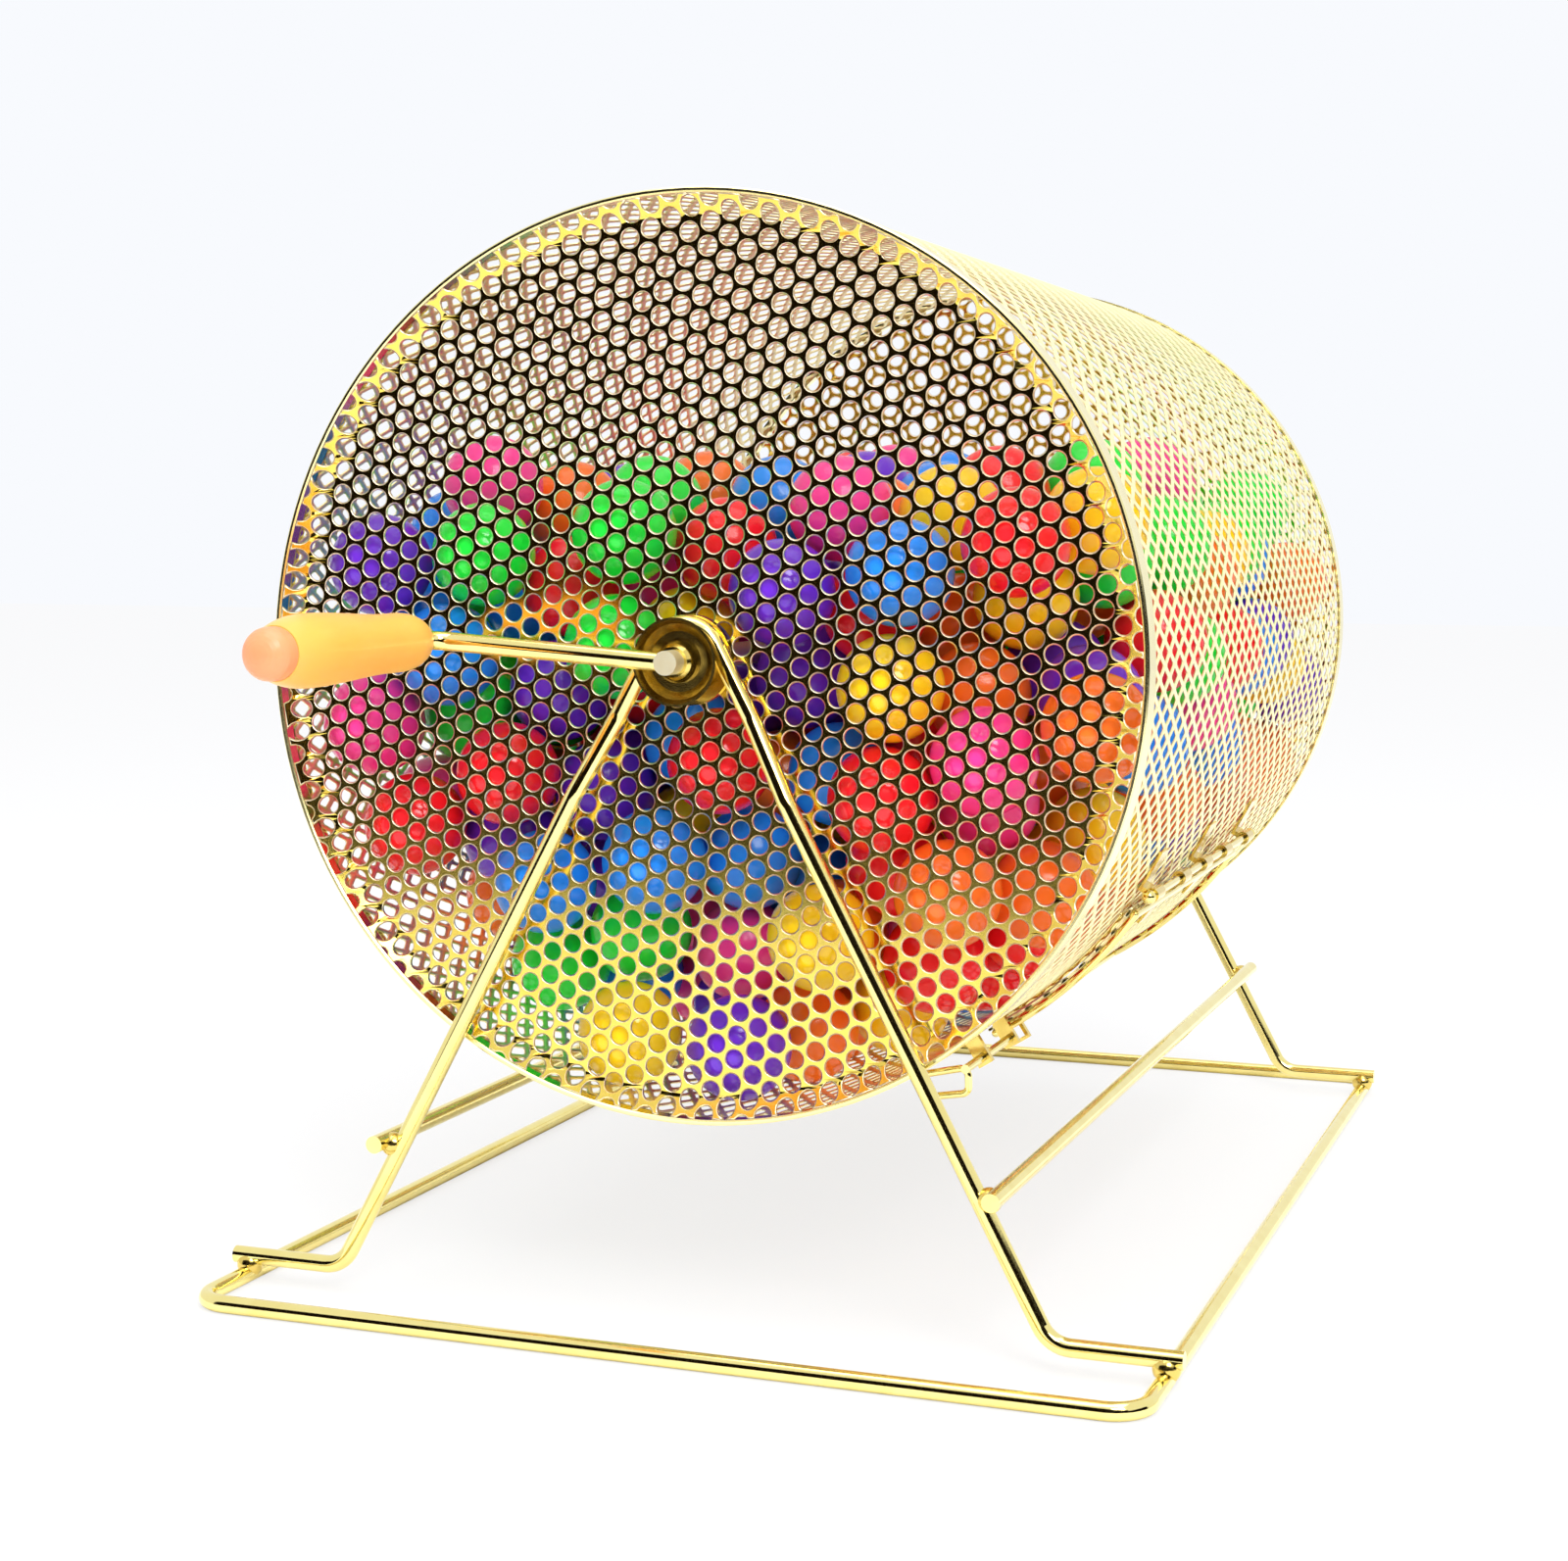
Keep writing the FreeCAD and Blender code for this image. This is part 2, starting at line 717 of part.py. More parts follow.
def grip_end_cap():
    """Rounded cap plugged into the outer end of the grip."""
    face_y = grip_start - grip_length - seat_clearance
    plug = grip_pocket_radius - seat_clearance
    profile = [
        (0, face_y + grip_plug_depth),
        (plug, face_y + grip_plug_depth),
        (plug, face_y),
        (grip_cap_radius, face_y),
    ]
    straight = grip_cap_length / 3
    steps = 8
    for index in range(steps + 1):
        turn = math.pi / 2 * index / steps
        depth = straight + (grip_cap_length - straight) * math.sin(turn)
        profile.append((grip_cap_radius * math.cos(turn) if index < steps else 0, face_y - depth))
    return turned(profile, grip_x, grip_z)


def grip_retainer():
    """Push-on washer that holds the grip on the spindle."""
    centre = at(grip_x, retainer_start - retainer_thickness, grip_z)
    disc = Part.makeCylinder(retainer_radius, retainer_thickness, centre, at(0, 1, 0))
    return disc.cut(Part.makeCylinder(crank_diameter / 2 + weld_cut, retainer_thickness, centre, at(0, 1, 0)))


# Balls near the front sheet, placed by eye as (x, depth behind the sheet, z, colour) from the axle.
front_balls = (
    (-125, 0, 30, "purple"), (-85, 0, 34, "green"), (-32, 0, 42, "green"), (-5, 26, 36, "red"),
    (-35, 0, 3, "green"), (-99, 0, -1, "blue"), (-128, 0, -26, "pink"), (-76, 0, -42, "red"),
    (-112, 0, -61, "red"), (3, 0, -35, "red"), (-21, 0, -70, "blue"), (-62, 0, -79, "blue"),
    (-98, 0, -92, "yellow"), (-60, 0, -115, "orange"), (-36, 24, -98, "green"), (-30, 0, -130, "yellow"),
    (10, 0, -132, "purple"), (46, 0, -128, "blue"), (2, 0, -97, "orange"), (39, 0, -93, "yellow"),
    (83, 0, -76, "orange"), (79, 0, -115, "yellow"), (26, 0, -60, "red"), (32, 0, -20, "blue"),
    (25, 0, 22, "purple"), (66, 0, 29, "blue"), (105, 0, 39, "red"), (132, 0, 18, "blue"),
    (63, 0, -9, "yellow"), (97, 0, 8, "yellow"), (95, 0, -32, "pink"), (132, 0, -20, "orange"),
    (60, 0, -46, "red"), (121, 0, -57, "blue"), (-95, 28, 58, "pink"), (2, 60, 51, "blue"),
    (37, 25, 50, "pink"), (74, 32, 47, "yellow"), (124, 32, 46, "yellow"), (-104, 30, -24, "green"),
    (-66, 22, -14, "purple"), (-50, 25, -49, "purple"),
)
# Balls against the right side of the wall, as (station, degrees above +X, colour).
side_balls = (
    (212, 14, "yellow"), (258, -3, "blue"), (143, -1, "green"), (212, -17, "blue"), (160, -24, "orange"),
    (335, 22, "green"), (330, -6, "yellow"), (290, -22, "orange"), (392, 8, "orange"), (352, -28, "orange"),
)
ball_colours = ("red", "orange", "yellow", "green", "blue", "purple", "pink")


def ball_limits():
    """Clear space for ball centres: largest radius, front station and rear station."""
    wall_reach = min(wall_inner, surround_radius - surround_wire_diameter / 2)
    reach = wall_reach - ball_radius - ball_gap
    front = sheet_back + ball_radius + ball_gap
    return reach, front, drum_length - front


def keep_inside(ball, limits):
    """Push one ball centre back inside the wall, the sheets and the hub pieces."""
    reach, front, rear = limits
    x, y, z = ball
    y = min(max(y, front), rear)
    radius = math.hypot(x, z)
    hub = ball_radius + axle_radius + ball_gap
    if min(y - front, rear - y) < hub_nut_height:
        hub = ball_radius + hub_nut_width / 2
    if radius > reach:
        x, z = x * reach / radius, z * reach / radius
    elif radius < hub:
        x, z = x * hub / max(radius, 0.1), z * hub / max(radius, 0.1)
    return [x, y, z]


def settle(balls, fixed, limits):
    """Push overlapping balls apart until the load is loose enough to be real."""
    target = ball_diameter + 2 * ball_gap
    near = target + neighbour_margin
    pairs = []
    for sweep in range(settling_sweeps):
        if sweep % neighbour_sweeps == 0:
            order = sorted(range(len(balls)), key=lambda index: balls[index][1])
            pairs = []
            for place, first in enumerate(order):
                for second in order[place + 1:]:
                    if balls[second][1] - balls[first][1] > near:
                        break
                    if (abs(balls[first][0] - balls[second][0]) < near
                            and abs(balls[first][2] - balls[second][2]) < near):
                        pairs.append((first, second))
        for first, second in pairs:
            a, b = balls[first], balls[second]
            gap = [b[axis] - a[axis] for axis in range(3)]
            length = math.sqrt(gap[0] ** 2 + gap[1] ** 2 + gap[2] ** 2)
            if length >= target or length < 0.001:
                continue
            push = (target - length) / length
            share = 0.5 if first >= fixed and second >= fixed else 1.0
            for axis in range(3):
                if first >= fixed:
                    a[axis] -= gap[axis] * push * share
                if second >= fixed:
                    b[axis] += gap[axis] * push * share
        for index in range(fixed, len(balls)):
            balls[index] = keep_inside(balls[index], limits)
    return balls


def ball_load():
    """Ball centres and colours for the load that lies in the drum."""
    limits = ball_limits()
    reach, front, rear = limits
    balls = []
    colours = []
    for x, depth, z, colour in front_balls:
        balls.append(keep_inside([x, front + depth, z], limits))
        colours.append(colour)
    for station, angle, colour in side_balls:
        turn = math.radians(angle)
        balls.append([reach * math.cos(turn), station, reach * math.sin(turn)])
        colours.append(colour)
    fixed = len(balls)
    chance = random.Random(ball_seed)
    while len(balls) < ball_count:
        x = chance.uniform(-reach, reach)
        z = chance.uniform(-reach, ball_fill_height - ball_radius)
        y = chance.uniform(front, rear)
        if math.hypot(x, z) < reach and (y > front + ball_radius):
            balls.append([x, y, z])
            colours.append(chance.choice(ball_colours))
    settle(balls, fixed, limits)
    kept = []
    least = ball_diameter + ball_gap / 2
    for index, ball in enumerate(balls):
        clear = all(math.dist(ball, other[0]) > least for other in kept)
        if clear and ball[2] < ball_fill_height:
            kept.append((ball, colours[index]))
    return kept


def save_balls():
    kept = ball_load()
    print("balls", len(kept))
    ball = Part.makeSphere(ball_radius).cut(Part.makeSphere(ball_radius - ball_wall))
    for colour in ball_colours:
        solids = []
        for (x, station, z), shade in kept:
            if shade != colour:
                continue
            solids.append(ball.translated(at(x, along(station), axle_height + z)))
        save("balls_" + colour, solids)


def save_stand():
    save("base_loop", base_loop())
    save("front_leg_frame", leg_frame(along(arch_depth), along(-front_leg_reach)))
    save("rear_leg_frame", leg_frame(along(drum_length - arch_depth), along(drum_length + rear_leg_reach)))
    save("left_side_rail", side_rail(-1))
    save("right_side_rail", side_rail(1))
    sleeve_end = sleeve_start - sleeve_length
    save("front_bearing_sleeve", bearing_sleeve(sleeve_end, sleeve_start))
    save("rear_bearing_sleeve", bearing_sleeve(drum_length - sleeve_start, drum_length - sleeve_end))
    save("foot_weld_beads", foot_beads())
    save("rail_weld_beads", rail_beads())
    save("sleeve_weld_beads", sleeve_beads())


def save_drum():
    save("drum_axle", drum_axle())
    save("front_end_sheet", end_sheet(sheet_inset))
    save("rear_end_sheet", end_sheet(drum_length - sheet_back))
    save("front_rim", rim(0, 1))
    save("rear_rim", rim(drum_length, -1))
    save("drum_wall", drum_wall())
    save("door_surround", door_surround())
    save("drum_hinge_eyes", drum_hinge_eyes())
    save("hinge_rod", hinge_rod())
    save("bolt_keepers", bolt_keepers())
    hub_pieces()
    save("front_cup_washer", cup_washer(cup_start, -1))
    save("front_collar", front_collar())
    save("rear_cup_washer", cup_washer(drum_length - cup_start, 1))
    save("rear_cap_nut", rear_cap_nut())
    save("crank_arm", crank_arm())
    save("grip_retainer", grip_retainer())


def save_moving_pieces():
    save("door_panel", door_panel())
    save("door_frame", door_frame())
    save("door_hinge_eyes", door_hinge_eyes())
    save("door_staple", door_staple())
    save("latch_bolt", latch_bolt())
    save("grip", grip())
    save("grip_end_cap", grip_end_cap())


os.makedirs("parts", exist_ok=True)
save_stand()
save_drum()
save_moving_pieces()
save_balls()
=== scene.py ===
# %% [markdown]
# # A raffle drum with a crank
# The real thing is a brass-plated ball cage on a bent-wire stand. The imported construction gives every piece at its
# real size, so this file adds the studio, the camera, the finishes and the fine metal skins: the two perforated
# ends and the expanded-mesh wall and door. The light is plain and soft, as on a white table.

# %% Load the construction
import json
import math
import bpy
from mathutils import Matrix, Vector


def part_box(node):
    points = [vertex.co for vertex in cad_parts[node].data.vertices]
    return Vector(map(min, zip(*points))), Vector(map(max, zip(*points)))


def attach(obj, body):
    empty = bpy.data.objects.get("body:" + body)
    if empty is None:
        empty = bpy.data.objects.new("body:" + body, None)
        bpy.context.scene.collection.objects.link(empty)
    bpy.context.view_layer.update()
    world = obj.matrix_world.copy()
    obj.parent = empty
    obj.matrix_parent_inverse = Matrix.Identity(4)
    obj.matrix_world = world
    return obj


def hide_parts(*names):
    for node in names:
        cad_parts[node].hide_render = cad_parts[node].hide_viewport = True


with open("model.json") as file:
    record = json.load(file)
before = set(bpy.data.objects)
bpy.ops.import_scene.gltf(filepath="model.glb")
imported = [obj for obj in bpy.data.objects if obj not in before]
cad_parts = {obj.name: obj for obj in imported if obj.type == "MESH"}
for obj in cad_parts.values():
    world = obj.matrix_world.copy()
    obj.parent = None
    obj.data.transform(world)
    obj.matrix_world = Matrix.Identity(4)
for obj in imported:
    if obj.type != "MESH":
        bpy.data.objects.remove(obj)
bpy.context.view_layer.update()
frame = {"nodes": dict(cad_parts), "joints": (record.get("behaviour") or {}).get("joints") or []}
nodes = frame["nodes"]
joints = {joint["name"]: joint for joint in frame["joints"]}
MM = 0.001

# %% [markdown]
# Sizes that the skins need could be typed in again, but then they would drift from the construction. They are read
# from it instead: the axle's place comes from the drum's own joint, and the wall and the sheets from their boxes.

# %% Read the drum's sizes
axle = Vector(joints["drum_spin"]["pos_m"])
wall_low, wall_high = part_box("drum_wall")
sheet_low, sheet_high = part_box("front_end_sheet")
rear_low, rear_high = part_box("rear_end_sheet")
wall_outer = (wall_high.x - wall_low.x) / 2
sheet_radius = (sheet_high.x - sheet_low.x) / 2
sheet_thickness = sheet_high.y - sheet_low.y
print("wall radius", round(wall_outer / MM, 2), "sheet radius", round(sheet_radius / MM, 2))

# %% [markdown]
# Colours are written as sRGB hex values, as a colour picker shows them. Shaders work in linear light, so one
# function turns a hex value to linear. A second adds a node with its settings and links, and a third starts a
# material.

# %% Colour and node helpers
def linear(hex_colour):
    channels = []
    for start in (1, 3, 5):
        value = int(hex_colour[start:start + 2], 16) / 255
        channels.append(value / 12.92 if value <= 0.04045 else ((value + 0.055) / 1.055) ** 2.4)
    return (*channels, 1.0)


def add_node(tree, kind, settings=None, inputs=None):
    node = tree.nodes.new(kind)
    for key, value in (settings or {}).items():
        setattr(node, key, value)
    for key, value in (inputs or {}).items():
        if isinstance(value, bpy.types.NodeSocket):
            tree.links.new(value, node.inputs[key])
        else:
            node.inputs[key].default_value = value
    return node


def new_material(name):
    material = bpy.data.materials.new(name)
    material.use_nodes = True
    tree = material.node_tree
    tree.nodes.clear()
    output = add_node(tree, "ShaderNodeOutputMaterial")
    return material, tree, output


print("mid grey in linear light", round(linear("#808080")[0], 3))

# %% [markdown]
# Bright brass plating is a mirror-like metal skin a few thousandths of a millimetre thick over steel. The eye sees
# pale gold where it mirrors the white room and nearly black where it mirrors something dark, so metallic is 1 and
# roughness is low. Drawn wire keeps faint die lines and the plating has slight waves, so the bump mixes a fine
# noise with a broad one. Both scales are sizes in millimetres. A flat gold paint would be simpler, but it would
# lose the dark streaks that make wire look like metal.

# %% Brass plating
ROUGH_LOW = 0.7
ROUGH_HIGH = 1.3
WAVE_WEIGHT = 2.0
RELIEF_DEPTH = 0.05 * MM


def brass_plating(name, bright, deep, roughness, grain_mm=0.8, wave_mm=9.0, bump=0.08, metallic=1.0):
    material, tree, output = new_material(name)
    place = add_node(tree, "ShaderNodeTexCoord")
    waves = add_node(tree, "ShaderNodeTexNoise", None,
                     {"Vector": place.outputs["Object"], "Scale": 1 / (wave_mm * MM), "Detail": 2.0})
    grain = add_node(tree, "ShaderNodeTexNoise", None,
                     {"Vector": place.outputs["Object"], "Scale": 1 / (grain_mm * MM), "Detail": 3.0})
    tint = add_node(tree, "ShaderNodeMix", {"data_type": "RGBA"},
                    {"Factor": waves.outputs["Fac"], "A": linear(bright), "B": linear(deep)})
    rough = add_node(tree, "ShaderNodeMapRange", None,
                     {"Value": grain.outputs["Fac"], "To Min": roughness * ROUGH_LOW,
                      "To Max": roughness * ROUGH_HIGH})
    height = add_node(tree, "ShaderNodeMath", {"operation": "MULTIPLY_ADD"},
                      {0: waves.outputs["Fac"], 1: WAVE_WEIGHT, 2: grain.outputs["Fac"]})
    relief = add_node(tree, "ShaderNodeBump", None,
                      {"Height": height.outputs["Value"], "Strength": bump, "Distance": RELIEF_DEPTH})
    shader = add_node(tree, "ShaderNodeBsdfPrincipled", None,
                      {"Base Color": tint.outputs["Result"], "Metallic": metallic,
                       "Roughness": rough.outputs["Result"], "Normal": relief.outputs["Normal"]})
    tree.links.new(shader.outputs["BSDF"], output.inputs["Surface"])
    return material


plated_wire = brass_plating("brass_plated_drawn_wire", "#FBEFA6", "#F0DC85", 0.10)
plated_hoop = brass_plating("brass_plated_rolled_hoop", "#FBF2B8", "#F4E6A2", 0.20)
plated_sheet = brass_plating("brass_plated_perforated_steel", "#F5DE72", "#E8C64E", 0.13)
# The punched edges' near-white colour, paler than the sheet, is a painted highlight on the rounded rims of the
# holes.
rim_painted_highlight = brass_plating("hole_rim_painted_highlight", "#FFF3DC", "#FBE6BE", 0.36)
plated_hub = brass_plating("brass_plated_pressed_steel", "#F0D980", "#D8B95C", 0.16, grain_mm=0.5, bump=0.25)
print("bright platings", 5)

# %% [markdown]
# Three more finishes start from the same plating. The mesh's thin strands look paler than solid brass, so its
# metallic is a little under 1 and it scatters some light. The cup washer's plating is mottled at random with a dark
# brown, a painted dark reflection inside the cup. The axle's sawn end is rough and pale. These were matched to the
# object.

# %% Mesh, cup washer and rod end
plated_mesh = brass_plating("brass_plated_expanded_mesh", "#FFF8CC", "#F8EEB0", 0.40, metallic=0.85)
# The dark brown mixed into the cup washer's plating is a painted dark reflection, mottled at random.
cup_painted_dark = brass_plating("cup_washer_painted_dark_reflection", "#E0C468", "#46301A", 0.24,
                           grain_mm=0.6, wave_mm=5.0, bump=0.3)
plated_rod_end = brass_plating("brass_plated_sawn_rod", "#FFFBE4", "#F0E2B0", 0.55, grain_mm=0.5, bump=0.8)
print("matched platings", 3)

# %% [markdown]
# Nuts and washers inside the drum and the grip are bought in, and such parts are usually zinc plated: a cool, pale
# grey metal with a soft sheen. The crystals of the zinc are drawn as a noise of 1.5 mm, coarser than real ones, so
# that they show at all.

# %% Zinc plating
ZINC_GRAIN = 1.5 * MM


def zinc_plating():
    material, tree, output = new_material("bright_zinc_plating")
    place = add_node(tree, "ShaderNodeTexCoord")
    grain = add_node(tree, "ShaderNodeTexNoise", None,
                     {"Vector": place.outputs["Object"], "Scale": 1 / ZINC_GRAIN, "Detail": 4.0})
    tint = add_node(tree, "ShaderNodeMix", {"data_type": "RGBA"},
                    {"Factor": grain.outputs["Fac"], "A": linear("#D4D6D8"), "B": linear("#B4B7BB")})
    shader = add_node(tree, "ShaderNodeBsdfPrincipled", None,
                      {"Base Color": tint.outputs["Result"], "Metallic": 1.0, "Roughness": 0.3})
    tree.links.new(shader.outputs["BSDF"], output.inputs["Surface"])
    return material


zinc = zinc_plating()
print("zinc grain in mm", ZINC_GRAIN / MM)

# %% [markdown]
# The grip is injection-moulded plastic, probably polypropylene: slightly waxy, so a little light enters and
# spreads, and the surface is satin. The balls are blow-moulded and glossy, with a hard, clean highlight. One
# function serves both, since only colour, gloss and depth differ. 1.49 is the usual IOR of polypropylene.

# %% Moulded plastics
PLASTIC_IOR = 1.49
CLOUD_SIZE = 25 * MM
SKIN_STRENGTH = 0.12
RED_TRAVELS_FURTHEST = (1.0, 0.5, 0.25)


def moulded_plastic(name, colour, shade, roughness, depth_mm, scatter, texture_mm):
    material, tree, output = new_material(name)
    place = add_node(tree, "ShaderNodeTexCoord")
    clouds = add_node(tree, "ShaderNodeTexNoise", None,
                      {"Vector": place.outputs["Object"], "Scale": 1 / CLOUD_SIZE, "Detail": 2.0})
    tint = add_node(tree, "ShaderNodeMix", {"data_type": "RGBA"},
                    {"Factor": clouds.outputs["Fac"], "A": linear(colour), "B": linear(shade)})
    skin = add_node(tree, "ShaderNodeTexNoise", None,
                    {"Vector": place.outputs["Object"], "Scale": 1 / (texture_mm * MM), "Detail": 3.0})
    relief = add_node(tree, "ShaderNodeBump", None,
                      {"Height": skin.outputs["Fac"], "Strength": SKIN_STRENGTH, "Distance": RELIEF_DEPTH})
    shader = add_node(tree, "ShaderNodeBsdfPrincipled", None,
                      {"Base Color": tint.outputs["Result"], "Roughness": roughness, "IOR": PLASTIC_IOR,
                       "Subsurface Weight": scatter, "Subsurface Radius": RED_TRAVELS_FURTHEST,
                       "Subsurface Scale": depth_mm * MM, "Normal": relief.outputs["Normal"]})
    tree.links.new(shader.outputs["BSDF"], output.inputs["Surface"])
    return material


grip_plastic = moulded_plastic("moulded_cream_polypropylene", "#FBBB5E", "#F7AE4B", 0.32, 3.0, 0.25, 1.2)
cap_plastic = moulded_plastic("moulded_peach_polypropylene", "#F2A070", "#EC9160", 0.34, 3.0, 0.25, 1.2)
BALL_COLOURS = {
    "red": ("#FF2630", "#F81C26"), "orange": ("#FF7C2A", "#FA6E1E"), "yellow": ("#FFDA20", "#FFD012"),
    "green": ("#28EE48", "#1EDF3C"), "blue": ("#2B96FF", "#1F88FA"), "purple": ("#7433D6", "#6527C6"),
    "pink": ("#FF46A2", "#F83A94"),
}
ball_plastics = {name: moulded_plastic("blow_moulded_" + name + "_plastic", pair[0], pair[1], 0.16, 1.5, 0.1, 2.5)
                 for name, pair in BALL_COLOURS.items()}
print("ball colours", len(ball_plastics))

# %% [markdown]
# The construction's own pieces already have the right shape, so they only get a finish. They are grouped by how the
# real ones are made: drawn wire, rolled hoop, pressed steel, bought-in parts and mouldings.

# %% Finish the construction's own pieces
def finish(names, material):
    for name in names:
        mesh = nodes[name].data
        mesh.materials.clear()
        mesh.materials.append(material)


WIRES = ["base_loop", "front_leg_frame", "rear_leg_frame", "left_side_rail", "right_side_rail", "crank_arm",
         "door_frame", "door_surround", "hinge_rod", "latch_bolt"]
PRESSED = ["front_bearing_sleeve", "rear_bearing_sleeve", "hub_outer_washers", "front_collar", "rear_cap_nut",
           "drum_hinge_eyes", "door_hinge_eyes", "bolt_keepers", "door_staple", "foot_weld_beads",
           "rail_weld_beads", "sleeve_weld_beads"]
finish(WIRES, plated_wire)
finish(["front_rim", "rear_rim"], plated_hoop)
finish(["drum_axle"], plated_rod_end)
# The cup washers carry the plating with the painted dark reflection.
finish(["front_cup_washer", "rear_cup_washer"], cup_painted_dark)
finish(PRESSED, plated_hub)
finish(["hub_inner_washers", "hub_nuts", "grip_retainer"], zinc)
finish(["grip"], grip_plastic)
finish(["grip_end_cap"], cap_plastic)
for colour, material in ball_plastics.items():
    finish(["balls_" + colour], material)
print("wire pieces", len(WIRES), "pressed pieces", len(PRESSED))

# %% [markdown]
# A perforated end is a flat steel sheet punched with 6 mm holes on an 8 mm staggered grid. This cell lays out the
# grid. The row tilt and the first hole's place turn it as the real sheet is turned in its rim.

# %% Where the holes are
HOLE_RADIUS = 3.0 * MM
HOLE_PITCH = 8.0 * MM
HOLE_ROW_TILT = math.radians(6.9)
STAGGER = math.radians(60)
HOLE_START = (30.55 * MM, 108.0 * MM)
GRID_REACH = 2.4
HUB_CLEAR = 8.0 * MM


def hole_centres(reach_radius):
    reach = int(GRID_REACH * reach_radius / HOLE_PITCH)
    step = HOLE_ROW_TILT + STAGGER
    centres = []
    for i in range(-reach, reach + 1):
        for j in range(-reach, reach + 1):
            x = HOLE_START[0] - HOLE_PITCH * (i * math.sin(HOLE_ROW_TILT) + j * math.sin(step))
            z = HOLE_START[1] - HOLE_PITCH * (i * math.cos(HOLE_ROW_TILT) + j * math.cos(step))
            if HUB_CLEAR < math.hypot(x, z) < reach_radius:
                centres.append((x, z))
    return centres


print("holes within the sheet", len(hole_centres(sheet_radius)))

# %% [markdown]
# The disc is cut from a larger punched sheet, so the cut runs through some holes and leaves bites in the edge. Loops
# of points draw the outline with its bites, and the whole holes. Boolean cuts could do the same, but over a
# thousand of them would be slow.

# %% Outlines of the sheet and its holes
HOLE_SIDES = 18
ARC_STEP = math.radians(1.5)


def ring_points(x, z, radius, sides):
    turns = [2 * math.pi * index / sides for index in range(sides)]
    return [(x + radius * math.cos(turn), z + radius * math.sin(turn)) for turn in turns]


def add_loop(curve, points):
    spline = curve.splines.new("POLY")
    spline.points.add(len(points) - 1)
    for point, (x, z) in zip(spline.points, points):
        point.co = (x, z, 0, 1)
    spline.use_cyclic_u = True


def cut_outline(radius, hole_radius, cut_holes):
    """Round outline with a bite for every hole that the sheet was cut through."""
    points = []
    order = sorted(cut_holes, key=lambda hole: math.atan2(hole[1], hole[0]))
    spans = []
    for x, z in order:
        away = math.hypot(x, z)
        turn = math.atan2(z, x)
        half = math.acos((away ** 2 + radius ** 2 - hole_radius ** 2) / (2 * away * radius))
        spans.append((turn - half, turn + half, turn, away))
    for index, (_, end, turn, away) in enumerate(spans):
        bite = math.acos((away ** 2 + hole_radius ** 2 - radius ** 2) / (2 * away * hole_radius))
        steps = max(2, int(HOLE_SIDES * bite / math.pi))
        for step in range(steps + 1):
            local = turn + math.pi + bite - 2 * bite * step / steps
            points.append((away * math.cos(turn) + hole_radius * math.cos(local),
                           away * math.sin(turn) + hole_radius * math.sin(local)))
        following = spans[(index + 1) % len(spans)][0] + (2 * math.pi if index == len(spans) - 1 else 0)
        gap = following - end
        parts = int(gap / ARC_STEP)
        for part in range(1, parts):
            angle = end + gap * part / parts
            points.append((radius * math.cos(angle), radius * math.sin(angle)))
    return points


print("hole sides", HOLE_SIDES)

# %% [markdown]
# Punching rounds the edge of every hole, and that bright ring is what the eye sees first. A 2D curve fills itself
# between its loops, and its bevel rounds each edge. The result is turned upright, its border is dished outwards
# to the rim, and the rounded faces get their own near-white finish: the rounding is real, and the paler colour is a
# painted highlight on it. Turning it swaps two axes, which turns the faces inside out, so the normals are flipped
# back.

# %% Perforated end sheets
EDGE_ROUND = 0.5 * MM
AXLE_HOLE_RADIUS = 4.1 * MM
AXLE_HOLE_SIDES = 32
SHEET_EDGE_GAP = 1.1 * MM
CUT_GAP = 0.3 * MM
CUT_PUSH = 0.15 * MM
BORDER_REACH = 0.8
FLAT_FACE = 0.98
FLANGE_START = 145.5 * MM
FLANGE_SLOPE = math.tan(math.radians(36))
sheet_outer = sheet_radius - SHEET_EDGE_GAP


